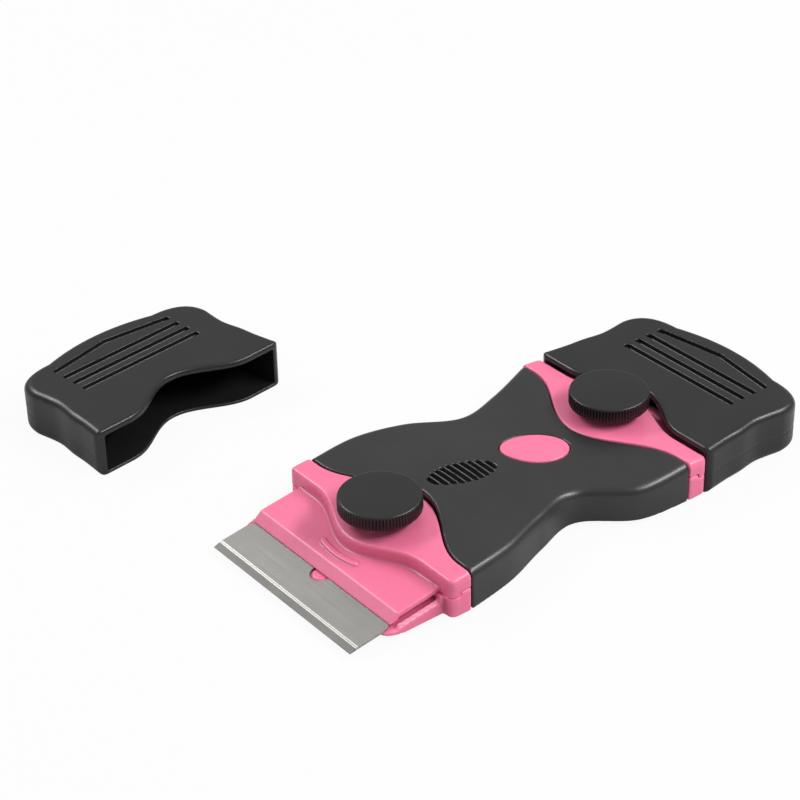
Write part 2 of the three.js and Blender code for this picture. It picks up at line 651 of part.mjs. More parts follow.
// Blade: square-shouldered plate with a tang under the jaw, a peg hole and a ground edge
function rearBlade() {
  const tang = BLADE_TANG_WIDTH / 2;
  const shoulder = jawFront - BLADE_CORNER / 2;
  const back = bladeStop + FIT_GAP;
  const plan = new THREE.Shape();
  plan.moveTo(bladeEdge, -bladeHalf);
  plan.lineTo(bladeEdge, bladeHalf);
  plan.lineTo(shoulder + BLADE_CORNER, bladeHalf);
  plan.quadraticCurveTo(shoulder, bladeHalf, shoulder, bladeHalf - BLADE_CORNER);
  plan.lineTo(shoulder, tang);
  plan.lineTo(back, tang);
  plan.lineTo(back, -tang);
  plan.lineTo(shoulder, -tang);
  plan.lineTo(shoulder, BLADE_CORNER - bladeHalf);
  plan.quadraticCurveTo(shoulder, -bladeHalf, shoulder + BLADE_CORNER, -bladeHalf);
  const under = (x) => bed(x) + SEAT_GAP;
  const ground = bladeEdge - BLADE_GRIND;
  const plate = slab([
    [back, under(back)], [bladeEdge, under(bladeEdge)], [bladeEdge, under(bladeEdge) + BLADE_EDGE],
    [ground, under(ground) + BLADE_THICKNESS], [back, under(back) + BLADE_THICKNESS],
  ], -bladeHalf, bladeHalf);
  const blade = plate.intersect(prism(plan, 0, knobTop));
  return blade.subtract(cylinder(PEG_DIAMETER + 2 * PEG_PLAY, jawFront, 0, 0, knobTop));
}

// Plan of the cap, drawn in by a wall: flared mouth, hollow flanks, round corners and a bowed end
function capPlan(wall, from) {
  const end = capEnd - wall;
  const corner = CAP_CORNER - wall / 2;
  const half = (flare) => capHalf + flare - wall;
  const flank = [
    [capMouth, half(CAP_FLARE)], [capMouth + CAP_THROAT_X, half(CAP_THROAT)],
    [bedFront - BED_CORNER, half(0)], [capMouth + CAP_WAIST_X, half(-CAP_WAIST)],
    [end - corner, half(0)],
  ];
  const outward = flank.map(([x, y]) => new THREE.Vector2(x, -y));
  const inward = flank.map(([x, y]) => new THREE.Vector2(x, y)).reverse();
  const plan = new THREE.Shape();
  plan.moveTo(from, -half(CAP_FLARE));
  plan.lineTo(capMouth, -half(CAP_FLARE));
  plan.splineThru(outward.slice(1));
  plan.quadraticCurveTo(end - CAP_END_BOW, -half(0), end - CAP_END_BOW, corner - half(0));
  plan.quadraticCurveTo(end + CAP_END_BOW, 0, end - CAP_END_BOW, half(0) - corner);
  plan.quadraticCurveTo(end - CAP_END_BOW, half(0), end - corner, half(0));
  plan.splineThru(inward.slice(1));
  plan.lineTo(from, half(CAP_FLARE));
  return plan;
}

// Cap: hollow push-on guard whose mouth follows the collar, with finger grooves on top
function rearCap() {
  const outer = softPrism(capPlan(0, knobX), 0, CAP_HEIGHT, CAP_EDGE, EDGE_STEPS);
  const hollow = prism(capPlan(CAP_WALL, knobX - OVERCUT), CAP_FLOOR, CAP_HEIGHT - CAP_ROOF);
  const mouth = band(() => knobX - 2 * OVERCUT, (y) => stepX(y) + CAP_MOUTH_GAP, mouthHalf + OVERCUT);
  let cap = outer.subtract(hollow).subtract(prism(mouth, -OVERCUT, CAP_HEIGHT + OVERCUT));
  const half = GROOVE_LENGTH / 2;
  const wide = GROOVE_WIDTH / 2;
  for (let i = 0; i < CAP_GROOVES; i += 1) {
    const x = capMouth + GROOVE_FIRST + i * GROOVE_PITCH;
    const bend = i === CAP_GROOVES - 1 ? GROOVE_BEND : 0;
    const groove = new THREE.Shape([
      [x - wide, half], [x - wide + bend, 0], [x - wide, -half],
      [x + wide, -half], [x + wide + bend, 0], [x + wide, half],
    ].map(([px, py]) => new THREE.Vector2(px, py)));
    cap = cap.subtract(prism(groove, CAP_HEIGHT - GROOVE_DEPTH, CAP_HEIGHT + OVERCUT));
  }
  return cap;
}

const charcoal = { color: 0x2b2b2d, roughness: 0.45, metalness: 0 };
const pink = { color: 0xf0709c, roughness: 0.42, metalness: 0 };
const steel = { color: 0xb4b2ac, roughness: 0.3, metalness: 1 };

const scraper = new THREE.Group();
function place(name, body, look) {
  const mesh = new THREE.Mesh(geometryOf(body), new THREE.MeshStandardMaterial(look));
  mesh.name = name;
  scraper.add(mesh);
  return mesh;
}

place('lower_frame', lowerFrame(), pink);
place('upper_grip', upperGrip(), charcoal);
place('base_plate', basePlate(), charcoal);
place('oval_inlay', ovalInlay(), pink);
bosses.forEach((boss, i) => place(`case_screw_${i + 1}`, caseScrew(boss), steel));

const headPieces = [
  ['clamp', rearClamp(), pink],
  ['knob', rearKnob(), charcoal],
  ['clamp_stud', rearStud(), steel],
  ['clamp_nut', rearNut(), steel],
  ['retaining_ring', rearRing(), steel],
  ['blade', rearBlade(), steel],
];
for (const [name, body, look] of headPieces) {
  place(`front_${name}`, halfTurn(body), look);
  place(`rear_${name}`, body, look);
}

// The rear cap is pushed on. The front cap lies beside the tool, turned about its mouth.
const cap = rearCap();
place('rear_cap', cap, charcoal);
const looseCap = place('front_cap', solid(geometryOf(cap).translate(-capMouth, 0, 0)), charcoal);
looseCap.rotation.z = LOOSE_CAP_TURN;
looseCap.position.set(LOOSE_CAP_X, LOOSE_CAP_Y, 0);

export default scraper;
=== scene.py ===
import math

import bmesh
import bpy
import numpy as np
from mathutils import Matrix, Vector


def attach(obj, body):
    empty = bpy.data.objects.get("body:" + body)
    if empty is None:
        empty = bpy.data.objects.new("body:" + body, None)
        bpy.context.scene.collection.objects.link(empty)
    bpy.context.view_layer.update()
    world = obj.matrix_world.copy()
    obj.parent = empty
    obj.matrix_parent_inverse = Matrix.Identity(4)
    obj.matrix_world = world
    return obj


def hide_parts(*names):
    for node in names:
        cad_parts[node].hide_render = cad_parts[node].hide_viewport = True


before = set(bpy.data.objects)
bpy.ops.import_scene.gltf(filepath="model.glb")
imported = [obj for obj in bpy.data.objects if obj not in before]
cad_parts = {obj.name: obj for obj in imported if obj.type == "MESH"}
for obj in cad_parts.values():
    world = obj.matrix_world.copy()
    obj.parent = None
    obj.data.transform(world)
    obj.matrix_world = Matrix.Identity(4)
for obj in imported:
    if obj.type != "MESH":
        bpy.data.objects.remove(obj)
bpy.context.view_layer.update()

# Upper grip: the charcoal shell that the hand closes round, moulded in satin plastic with upright
# sides, rolled shoulders and a crowned top. It screws down on the base plate, its ends follow the
# curved collars, and a blind grille and an oval recess are moulded into the crown.
MM = 0.001
WING_REAR = 25.63
SEAM_TIP = 17.53
SEAM_REACH = 20
SEAM_GAP = 0.3
SEAM_STEPS = 160
WING_HALF = 23.35
SKIRT = 0.9
PARTING = 4.9
COLLAR_TOP = 8.9
CUT_FLOOR = -2
CUT_CEILING = 14
CUT_SPARE = 4
GRIP_STATIONS = (-WING_REAR, -15, -5, 4.8, 14.5, WING_REAR)
GRIP_NEAR = (WING_HALF, 21.4, 17.85, 15.5, 22.1, WING_HALF)
GRIP_FAR = (WING_HALF, 24.6, 22.4, 17.3, 19.2, WING_HALF)
GRIP_DIP = (0, 0.35, 0.725, 1.1, 0.9, 0)
GRIP_CROWN = (0.1, 1.2, 1.2, 0.9, 0.5, 0.1)
GRIP_RINGS = 120
FAR_DIP_SHARE = 0.4
SHOULDER = 2
SHOULDER_STEPS = 12
CROWN_STEPS = 48
GRIP_WALL = 1.8
SPINE_HALF = 6.5
NOTCH_REACH = 28
GRILLE_X = -8.2
GRILLE_Y = 0.5
GRILLE_LEAN = -0.165
GRILLE_LENGTH = 13.4
GRILLE_WIDTH = 6.8
GRILLE_SLOTS = 10
SLOT_WIDTH = 0.88
SLOT_DEPTH = 1.3
SLOT_STEPS = 8
SLOT_LEAST = 0.004
OVAL_X = 7.9
OVAL_Y = -0.9
OVAL_LONG = 6.45
OVAL_SHORT = 4.5
OVAL_TURN = math.radians(-33)
OVAL_GAP = 0.15
OVAL_DEPTH = 0.9
OVAL_SIDES = 120
EDGE_BLUR = 6
EDGE_BEND = 0.14


def steps(low, high, count):
    return [low + (high - low) * i / count for i in range(count + 1)]


def through(places, values):
    """Smooth curve through (place, value) pairs, read as a value over a place."""
    knots = [Vector((places[i], values[i])) for i in range(len(places))]
    samples = []
    for i in range(len(knots) - 1):
        before, start, end, after = (knots[min(max(k, 0), len(knots) - 1)] for k in range(i - 1, i + 3))
        for t in steps(0, 1, 40):
            leave = (end - before) / 2
            arrive = (after - start) / 2
            samples.append(
                start * (2 * t**3 - 3 * t**2 + 1) + end * (3 * t**2 - 2 * t**3)
                + leave * (t**3 - 2 * t**2 + t) + arrive * (t**3 - t**2)
            )

    def value(place):
        for i in range(1, len(samples)):
            if samples[i].x >= place:
                run = samples[i].x - samples[i - 1].x
                share = (place - samples[i - 1].x) / run if run > 0 else 0
                return samples[i - 1].y + (samples[i].y - samples[i - 1].y) * min(max(share, 0), 1)
        return samples[-1].y

    return value


def swell(place, reach):
    return math.cos(math.pi * place / (2 * reach)) ** 2 if abs(place) < reach else 0


def seam(y):
    return WING_REAR - (WING_REAR - SEAM_TIP) * swell(y, SEAM_REACH)


near_half = through(GRIP_STATIONS, GRIP_NEAR)
far_half = through(GRIP_STATIONS, GRIP_FAR)
edge_dip = through(GRIP_STATIONS, GRIP_DIP)
crown_rise = through(GRIP_STATIONS, GRIP_CROWN)


def grip_level(x, share):
    return COLLAR_TOP - edge_dip(x) * (1 - (1 - FAR_DIP_SHARE) * (share + 1) / 2)


def grip_top(x, y):
    half = far_half(x) if y > 0 else near_half(x)
    share = y / (half - SHOULDER)
    return grip_level(x, share) + crown_rise(x) * swell(share, 1)


def grip_section(x, inset, low):
    """One ring across the grip: up the far side, over the crown and down the near side."""
    near = near_half(x) - inset
    far = far_half(x) - inset
    roll = SHOULDER - inset / 2
    ring = [(x, far, low)]
    for angle in steps(0, math.pi / 2, SHOULDER_STEPS):
        y = far - roll + roll * math.cos(angle)
        ring.append((x, y, grip_level(x, 1) - inset - roll + roll * math.sin(angle)))
    for share in steps(1, -1, CROWN_STEPS)[1:-1]:
        y = share * (far - roll if share > 0 else near - roll)
        ring.append((x, y, grip_level(x, share) - inset + crown_rise(x) * swell(share, 1)))
    for angle in steps(math.pi / 2, math.pi, SHOULDER_STEPS):
        y = roll - near + roll * math.cos(angle)
        ring.append((x, y, grip_level(x, -1) - inset - roll + roll * math.sin(angle)))
    ring.append((x, -near, low))
    return ring


def loft(rings):
    """Closed solid through rings of points in millimetres: neighbours bridged, both ends filled.
    It is scaled last, because a loop under a few square millimetres is bridged crosswise in metres."""
    made = bmesh.new()
    loops = []
    for ring in rings:
        corners = [made.verts.new(point) for point in ring]
        loops.append([made.edges.new((corners[i - 1], corners[i])) for i in range(len(corners))])
    for low, high in zip(loops, loops[1:]):
        bmesh.ops.bridge_loops(made, edges=low + high)
    for end in (loops[0], loops[-1]):
        bmesh.ops.edgeloop_fill(made, edges=end)
    bmesh.ops.scale(made, vec=(MM, MM, MM), verts=made.verts)
    bmesh.ops.recalc_face_normals(made, faces=made.faces)
    return made


def extruded(corners, rise):
    """Closed solid: one face through the corners, in millimetres, drawn out along rise."""
    made = bmesh.new()
    face = made.faces.new([made.verts.new(Vector(corner) * MM) for corner in corners])
    grown = bmesh.ops.extrude_face_region(made, geom=[face])["geom"]
    far_end = [part for part in grown if isinstance(part, bmesh.types.BMVert)]
    bmesh.ops.translate(made, verts=far_end, vec=Vector(rise) * MM)
    bmesh.ops.recalc_face_normals(made, faces=made.faces)
    return made


def prism(plan, low, high):
    return extruded([(x, y, low) for x, y in plan], (0, 0, high - low))


def slab(outline, low, high):
    return extruded([(x, low, z) for x, z in outline], (0, high - low, 0))


def block(reach, half, low, high):
    return prism([(-reach, -half), (reach, -half), (reach, half), (-reach, half)], low, high)


def between_seams(drawn_in, half):
    ys = steps(-half, half, SEAM_STEPS)
    return [(seam(y) - drawn_in, y) for y in ys] + [(drawn_in - seam(y), y) for y in reversed(ys)]


def grille_slot(offset):
    """Plan of one slot: a strip across the grip that ends on the grille's oval."""
    strip = steps(offset - SLOT_WIDTH / 2, offset + SLOT_WIDTH / 2, SLOT_STEPS)
    sides = []
    for sign, along in ((1, strip), (-1, strip[::-1])):
        for u in along:
            reach = GRILLE_WIDTH / 2 * math.sqrt(max(SLOT_LEAST, 1 - (2 * u / GRILLE_LENGTH) ** 2))
            sides.append((GRILLE_X + u, GRILLE_Y + GRILLE_LEAN * u + sign * reach))
    return sides


def oval(grow, scale=1):
    """Plan of the turned oval, grown all round and then scaled about its middle."""
    c, s = math.cos(OVAL_TURN), math.sin(OVAL_TURN)
    points = []
    for i in range(OVAL_SIDES):
        turn = 2 * math.pi * i / OVAL_SIDES
        u = (OVAL_LONG + grow) * scale * math.cos(turn)
        v = (OVAL_SHORT + grow) * scale * math.sin(turn)
        points.append((OVAL_X + c * u - s * v, OVAL_Y + s * u + c * v))
    return points


def under_crown(plan, depth):
    return [(x, y, grip_top(x, y) - depth) for x, y in plan]


def body(name, *meshes):
    """One object from one or more bmeshes, in the scene at the origin."""
    data = bpy.data.meshes.new(name)
    whole = bmesh.new()
    for part in meshes:
        part.to_mesh(data)
        part.free()
        whole.from_mesh(data)
    whole.to_mesh(data)
    whole.free()
    made = bpy.data.objects.new(name, data)
    bpy.context.scene.collection.objects.link(made)
    return made


def melt(made):
    """The mesh of an object as a bmesh. The object itself goes."""
    mesh = bmesh.new()
    mesh.from_mesh(made.data)
    bpy.data.objects.remove(made)
    return mesh


def settle(made):
    """Bake the modifiers of an object into its mesh."""
    graph = bpy.context.evaluated_depsgraph_get()
    baked = bpy.data.meshes.new_from_object(made.evaluated_get(graph))
    made.modifiers.clear()
    made.data = baked
    return made


def carve(made, *tools, how="DIFFERENCE"):
    """Cut tools out of an object, or keep what lies in them all."""
    cutters = [body(f"{made.name}_tool_{i}", tool) for i, tool in enumerate(tools)]
    for cutter in cutters:
        cut = made.modifiers.new("cut", "BOOLEAN")
        cut.operation = how
        cut.solver = "EXACT"
        cut.object = cutter
    settle(made)
    for cutter in cutters:
        bpy.data.objects.remove(cutter)
    return made


def mark_edges(made):
    """Note at each point how sharply the skin bends: above nought on edges, below it in hollows."""
    data = made.data
    place = np.empty((len(data.vertices), 3))
    facing = np.empty((len(data.vertices), 3))
    ends = np.empty((len(data.edges), 2), dtype=np.int32)
    data.vertices.foreach_get("co", place.ravel())
    data.vertices.foreach_get("normal", facing.ravel())
    data.edges.foreach_get("vertices", ends.ravel())
    run = place[ends[:, 1]] - place[ends[:, 0]]
    run /= np.linalg.norm(run, axis=1, keepdims=True) + 1e-12
    bend = np.zeros(len(place))
    np.add.at(bend, ends[:, 0], -(run * facing[ends[:, 0]]).sum(1))
    np.add.at(bend, ends[:, 1], (run * facing[ends[:, 1]]).sum(1))
    tally = np.maximum(np.bincount(ends.ravel(), minlength=len(place)), 1)
    bend /= tally
    for _ in range(EDGE_BLUR):
        around = np.zeros(len(place))
        np.add.at(around, ends[:, 0], bend[ends[:, 1]])
        np.add.at(around, ends[:, 1], bend[ends[:, 0]])
        bend = (bend + around / tally) / 2
    # This bend drives the painted edge highlights and the painted shade in hollows of the moulded plastics.
    data.attributes.new("edge", "FLOAT", "POINT").data.foreach_set("value", bend.astype(np.float32))


def cast(made, voxel, rounds, keep):
    """Fuse an object into one skin with softly rolled edges, as a moulding has."""
    skin = made.modifiers.new("skin", "REMESH")
    skin.mode = "VOXEL"
    skin.voxel_size = voxel * MM
    skin.use_smooth_shade = True
    soften = made.modifiers.new("soften", "SMOOTH")
    soften.factor = 0.5
    soften.iterations = rounds
    settle(made)
    if keep < 1:
        mark_edges(made)
        thin = made.modifiers.new("thin", "DECIMATE")
        thin.ratio = keep
        settle(made)
    made.data.shade_smooth()
    return made


class Wire:
    """A node output that takes part in arithmetic and feeds further nodes."""

    def __init__(self, tree, out=None):
        self.tree = tree
        self.out = out

    def node(self, kind, sockets, out=0, stops=(), **settings):
        made = self.tree.nodes.new("ShaderNode" + kind)
        for name, value in settings.items():
            setattr(made, name, value)
        for stop, (place, colour) in zip(made.color_ramp.elements if stops else (), stops):
            stop.position = place
            stop.color = (*colour, 1)
        for name, value in sockets.items():
            if isinstance(value, Wire):
                self.tree.links.new(value.out, made.inputs[name])
            else:
                made.inputs[name].default_value = value
        return Wire(self.tree, made.outputs[out])

    def math(self, operation, first, second=0.0):
        return self.node("Math", {0: first, 1: second}, operation=operation)

    def __add__(self, other):
        return self.math("ADD", self, other)

    def __sub__(self, other):
        return self.math("SUBTRACT", self, other)

    def __rsub__(self, other):
        return self.math("SUBTRACT", other, self)

    def __mul__(self, other):
        return self.math("MULTIPLY", self, other)

    __radd__ = __add__
    __rmul__ = __mul__


def grey(level):
    return (level, level, level)


def finish(name, **constants):
    """New material with constants on its shader: the material, its nodes and its shader."""
    made = bpy.data.materials.new(name)
    made.use_nodes = True
    shader = made.node_tree.nodes["Principled BSDF"]
    for socket, value in constants.items():
        shader.inputs[socket.replace("_", " ")].default_value = value
    return made, Wire(made.node_tree), shader


def feed(wire, shader, **inputs):
    for socket, value in inputs.items():
        wire.tree.links.new(value.out, shader.inputs[socket.replace("_", " ")])


def moulded(name, dark, light, gloss, grain, painted_edge_highlight, **constants):
    """Moulded plastic: slow flow marks in its colour, uneven sheen and a fine spark-eroded grain, with
    painted highlights lightening its edges and painted shade darkening its hollows."""
    made, wire, shader = finish(name, **constants)
    place = wire.node("TexCoord", {}, out="Object")
    flow = wire.node("TexNoise", {"Vector": place, "Scale": 90, "Detail": 2})
    mottle = wire.node("TexNoise", {"Vector": place, "Scale": 900, "Detail": 3})
    fine = wire.node("TexNoise", {"Vector": place, "Scale": 5200, "Detail": 2})
    bent = wire.node("Attribute", {}, out="Fac", attribute_name="edge")
    edge = wire.node("MapRange", {"Value": bent, 1: -EDGE_BEND, 2: EDGE_BEND, 3: -1.0, 4: 1.0})
    tone = flow * 0.7 + mottle * 0.3
    colour = wire.node("ValToRGB", {"Fac": tone}, stops=((0.3, dark), (0.7, light)))
    # Painted light: where the skin bends outward the colour is lightened as a painted highlight, and where
    # it bends inward it is darkened by up to 0.8 as painted shade.
    painted_edge_light_and_shade = wire.math("MAXIMUM", edge, 0.0) * painted_edge_highlight + wire.math("MINIMUM", edge, 0.0) * 0.8
    colour_with_painted_light = wire.node("HueSaturation", {"Color": colour, "Value": 1 + painted_edge_light_and_shade})
    sheen = gloss + (flow - 0.5) * 0.06 + (mottle - 0.5) * 0.08
    bump = wire.node("Bump", {"Height": fine, "Strength": grain, "Distance": 0.06 * MM})
    feed(wire, shader, Base_Color=colour_with_painted_light, Roughness=sheen, Normal=bump)
    return made


def dress(made, material, rides, slot, *nodes):
    made.data.materials.clear()
    made.data.materials.append(material)
    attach(made, rides)
    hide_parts(*nodes)


charcoal = moulded(
    "charcoal_moulding", grey(0.015), grey(0.021), gloss=0.33, grain=0.04, painted_edge_highlight=0.12, Specular_IOR_Level=0.55,
)

stations = steps(-WING_REAR, WING_REAR, GRIP_RINGS)
seam_half = WING_HALF + CUT_SPARE
upper_grip = body("upper_grip_skin", loft([grip_section(x, 0, SKIRT) for x in stations]))
carve(upper_grip, prism(between_seams(SEAM_GAP / 2, seam_half), 0, CUT_CEILING), how="INTERSECT")
inside = body("inside", loft([grip_section(x, GRIP_WALL, CUT_FLOOR + 1) for x in stations]))
inside_plan = between_seams(SEAM_GAP / 2 + GRIP_WALL, seam_half)
carve(inside, prism(inside_plan, CUT_FLOOR, CUT_CEILING), how="INTERSECT")
carve(upper_grip, melt(inside), block(NOTCH_REACH, SPINE_HALF + SEAM_GAP, 0, PARTING + SEAM_GAP))
recess_plan = oval(OVAL_GAP)
recess = loft([under_crown(recess_plan, OVAL_DEPTH), [(x, y, CUT_CEILING) for x, y in recess_plan]])
slots = []
for i in range(GRILLE_SLOTS):
    offset = (i + 0.5) * GRILLE_LENGTH / GRILLE_SLOTS - GRILLE_LENGTH / 2
    slot_x = GRILLE_X + offset
    floor_z = grip_level(slot_x, 0) + crown_rise(slot_x) - SLOT_DEPTH
    slots.append(prism(grille_slot(offset), floor_z, CUT_CEILING))
carve(upper_grip, recess, *slots)
cast(upper_grip, voxel=0.2, rounds=16, keep=0.4)
dress(upper_grip, charcoal, "handle", "charcoal_plastic", "upper_grip")

# Oval inlay: a pink plug pressed into the recess on the crown, moulded to the same curve as the
# grip round it. Its rim is rolled, so a fine dark line shows all the way round.
OVAL_ROLL = 0.3
OVAL_FLOAT = 0.05
OVAL_RINGS = 14

pink = moulded(
    "pink_moulding", (0.76, 0.153, 0.28), (0.81, 0.176, 0.315), gloss=0.32, grain=0.08, painted_edge_highlight=0.25,
    Specular_IOR_Level=0.5,
)

oval_rings = [under_crown(oval(0), OVAL_DEPTH - OVAL_FLOAT), under_crown(oval(0), OVAL_ROLL)]
for angle in steps(0, math.pi / 2, 6)[1:]:
    draw = OVAL_ROLL * (1 - math.cos(angle))
    sink = OVAL_ROLL * (1 - math.sin(angle))
    oval_rings.append(under_crown(oval(-draw), sink))
for scale in steps(1, 0, OVAL_RINGS)[1:-1]:
    oval_rings.append(under_crown(oval(-OVAL_ROLL, scale), 0))
oval_inlay = body("oval_inlay_skin", loft(oval_rings))
oval_inlay.data.shade_smooth()
dress(oval_inlay, pink, "handle", "pink_plastic", "oval_inlay")

# Base plate: the charcoal closing plate that the tool rests on, let into the grip's rim and standing
# a little proud of it. Four pan-head screws in round counterbores draw it up against the bosses.
BASE_THICKNESS = 2
BASE_GAP = 0.15
BASE_ROLL = 0.4
BOSS_X = 11
BOSS_Y = 9.8
HEAD_ROOM = 2.15
HEAD_DEPTH = 1.2
SHANK_ROOM = 1.2


def drum(x, y, radius, low, high, sides=64):
    """Upright cylinder, or a prism with a corner on the X axis where it has few sides."""
    made = bmesh.new()
    middle = Matrix.Translation(Vector((x, y, (low + high) / 2)) * MM)
    bmesh.ops.create_cone(
        made, cap_ends=True, segments=sides, radius1=radius * MM, radius2=radius * MM,
        depth=(high - low) * MM, matrix=middle @ Matrix.Rotation(math.pi / 2, 4, "Z"),
    )
    return made


def base_plan(inset):
    xs = steps(-WING_REAR, WING_REAR, GRIP_RINGS)
    return [(x, inset - near_half(x)) for x in xs] + [(x, far_half(x) - inset) for x in reversed(xs)]


base_inset = GRIP_WALL + BASE_GAP
plate_levels = [
    (0, BASE_ROLL), (BASE_ROLL, 0),
    (BASE_THICKNESS - BASE_ROLL / 2, 0), (BASE_THICKNESS, BASE_ROLL / 2),
]
base_plate = body(
    "base_plate_skin",
    loft([[(x, y, z) for x, y in base_plan(base_inset + draw)] for z, draw in plate_levels]),
)
plate_plan = between_seams(SEAM_GAP / 2 + base_inset, WING_HALF)
carve(base_plate, prism(plate_plan, CUT_FLOOR, CUT_CEILING), how="INTERSECT")
for x in (-BOSS_X, BOSS_X):
    for y in (-BOSS_Y, BOSS_Y):
        head_hole = drum(x, y, HEAD_ROOM, CUT_FLOOR, HEAD_DEPTH)
        carve(base_plate, head_hole, drum(x, y, SHANK_ROOM, 0, CUT_CEILING))
cast(base_plate, voxel=0.2, rounds=3, keep=0.3)
dress(base_plate, charcoal, "handle", "charcoal_plastic", "base_plate")

# Lower frame: the pink moulding that carries both heads on one spine through the grip. Each head has
# a lower wing, a sloped bed for the blade with a rail each side, a peg for the blade's hole, a small
# locating tab at the seam and a hexagonal pocket for the clamp nut underneath.
KNOB_X = 27.13
WING_FRONT = 30.08
WING_CORNER = 1.2
PARTING_GAP = 0.1
BLADE_STOP = 30.83
BLADE_EDGE = 49.33
BED_FRONT = 42.93
BED_HALF = 21.2
BED_CORNER = 2.8
BED_UNDER = 1.1
BED_LIP = 0.35
BED_RAMP = 5
BED_SLOPE = math.tan(math.radians(8))
RAIL_INNER = 20.25
RAIL_WIDTH = 0.475
RAIL_HEIGHT = 0.55
RAIL_ROOT = 26.73
RAIL_END = 39.88
JAW_FRONT = 40.83
PEG_X = 40.6
PEG_Y = 0.4
PEG_RADIUS = 1.7
PEG_RISE = 0.4
TAB_PROUD = 0.04
TAB_LENGTH = 2.2
TAB_HEIGHT = 0.8
TAB_DEPTH = 1
TAB_ROOT = 0.4
NUT_RADIUS = 4.21
NUT_CEILING = 3.5
STUD_ROOM = 2.3
SPINE_REACH = 20.13
SPINE_LOW = 2.25


def bed(x):
    return BED_UNDER + (BLADE_EDGE - x) * BED_SLOPE


def corner_drop(y):
    over = max(0, abs(y) - (WING_HALF - WING_CORNER))
    return WING_CORNER - math.sqrt(max(0, WING_CORNER**2 - over**2))


def tab(side, grow):
    """Locating tab on one side of the seam, or the notch for it where it is grown."""
    rear = WING_REAR + SEAM_GAP / 2
    front = rear + TAB_LENGTH + grow
    top = PARTING + TAB_HEIGHT + grow
    low = PARTING - TAB_ROOT
    bend = TAB_HEIGHT / 2
    outline = []
    for angle in steps(math.pi / 2, 0, 6):
        outline.append((front - bend + bend * math.sin(angle), top - bend + bend * math.cos(angle)))
    outline += [(rear - grow, top), (rear - grow, low), (front, low)]
    reach = sorted((side * (WING_HALF + TAB_PROUD + grow), side * (WING_HALF - TAB_DEPTH - grow)))
    return slab(outline, *reach)


def turned_half(made, name):
    """Copy of an object, turned half round about Z, for the other end of the tool."""
    twin = bpy.data.objects.new(name, made.data.copy())
    twin.data.transform(Matrix.Rotation(math.pi, 4, "Z"))
    bpy.context.scene.collection.objects.link(twin)
    return twin


frame_top = PARTING - PARTING_GAP / 2
ys = steps(-WING_HALF, WING_HALF, SEAM_STEPS)
wing_plan = [(WING_FRONT - corner_drop(y), y) for y in ys]
wing_plan += [(seam(y) + SEAM_GAP / 2, y) for y in reversed(ys)]
bed_outline = [
    (KNOB_X, BED_UNDER), (BED_FRONT - BED_RAMP, BED_UNDER), (BED_FRONT, bed(BED_FRONT) - BED_LIP),
    (BED_FRONT, bed(BED_FRONT)), (BLADE_STOP, bed(BLADE_STOP)), (BLADE_STOP, frame_top), (KNOB_X, frame_top),
]
bed_plan = [(KNOB_X, BED_HALF)]
for angle in steps(0, math.pi / 2, 12):
    along = BED_FRONT - BED_CORNER * (1 - math.sin(angle))
    bed_plan.append((along, BED_HALF - BED_CORNER * (1 - math.cos(angle))))
bed_plan += [(x, -y) for x, y in reversed(bed_plan)]
bed_block = body("bed_block", slab(bed_outline, -BED_HALF, BED_HALF))
carve(bed_block, prism(bed_plan, CUT_FLOOR, CUT_CEILING), how="INTERSECT")
rail_top = bed(BLADE_STOP) + RAIL_HEIGHT
rail_outline = [
    (RAIL_ROOT, BED_UNDER), (RAIL_END, BED_UNDER), (RAIL_END, bed(RAIL_END) + RAIL_HEIGHT),
    (BLADE_STOP, rail_top), (RAIL_ROOT, rail_top),
]
lower_rear = body(
    "lower_rear", prism(wing_plan, SKIRT, frame_top), melt(bed_block),
    slab(rail_outline, RAIL_INNER, RAIL_INNER + RAIL_WIDTH),
    slab(rail_outline, -RAIL_INNER - RAIL_WIDTH, -RAIL_INNER),
    tab(1, 0), tab(-1, 0), drum(PEG_X, PEG_Y, PEG_RADIUS, BED_UNDER, bed(PEG_X) + PEG_RISE),
)
lower_front = turned_half(lower_rear, "lower_front")
spine = block(SPINE_REACH, SPINE_HALF, SPINE_LOW, frame_top)
lower_frame = body("lower_frame_skin", melt(lower_rear), melt(lower_front), spine)
cast(lower_frame, voxel=0.2, rounds=0, keep=1)
for x in (-KNOB_X, KNOB_X):
    nut_pocket = drum(x, 0, NUT_RADIUS, 0, NUT_CEILING, sides=6)
    carve(lower_frame, nut_pocket, drum(x, 0, STUD_ROOM, 0, CUT_CEILING))
cast(lower_frame, voxel=0.2, rounds=7, keep=0.26)
dress(lower_frame, pink, "handle", "pink_plastic", "lower_frame")

# Clamps: a pink moulding at each end that presses the blade on its bed. The collar arches over the
# seam and steps down in a soft S to the flat jaw, which has a chamfered front, a low arc rib to push
# on and a slit along each side. A round pad under the knob takes the thrust.
BULGE = 4.6
BULGE_REACH = 15
COLLAR_CREST = 24.03
COLLAR_BEND = 90
COLLAR_RINGS = 240
COLLAR_REAR_ROLL = 0.35
COLLAR_EDGE = 0.7
COLLAR_FOOT = 0.6
FOOT_SINK = 0.05
FOOT_INSET = 0.6
FOOT_FADE = 1.5
FOOT_LEAST = 0.02
BLADE_HALF = 20
BLADE_THICKNESS = 0.5
JAW_GAP = 0.1
JAW_ROOT = 5
JAW_CREST = 38.93
JAW_LIP = 0.12
JAW_THICKNESS = 1.55
JAW_SLIT = 0.5
JAW_SLIT_DEPTH = 1.3
JAW_SLIT_END = 38.93
SLIT_SPARE = 1
RIB_RADIUS = 17.1
RIB_CENTRE = 37.03 - RIB_RADIUS
RIB_SPREAD = 5.2
RIB_HALF = 0.5
RIB_HEIGHT = 0.42
RIB_ROOT = 1
PAD_TOP = 9.35
PAD_RADIUS = 4.7
RING_ROOM = 3.8
RING_HEIGHT = 0.7

clamp_low = PARTING + PARTING_GAP / 2


def jaw_under(x):
    return bed(x) + BLADE_THICKNESS + JAW_GAP


def terrace(x):
    return jaw_under(x) + JAW_THICKNESS


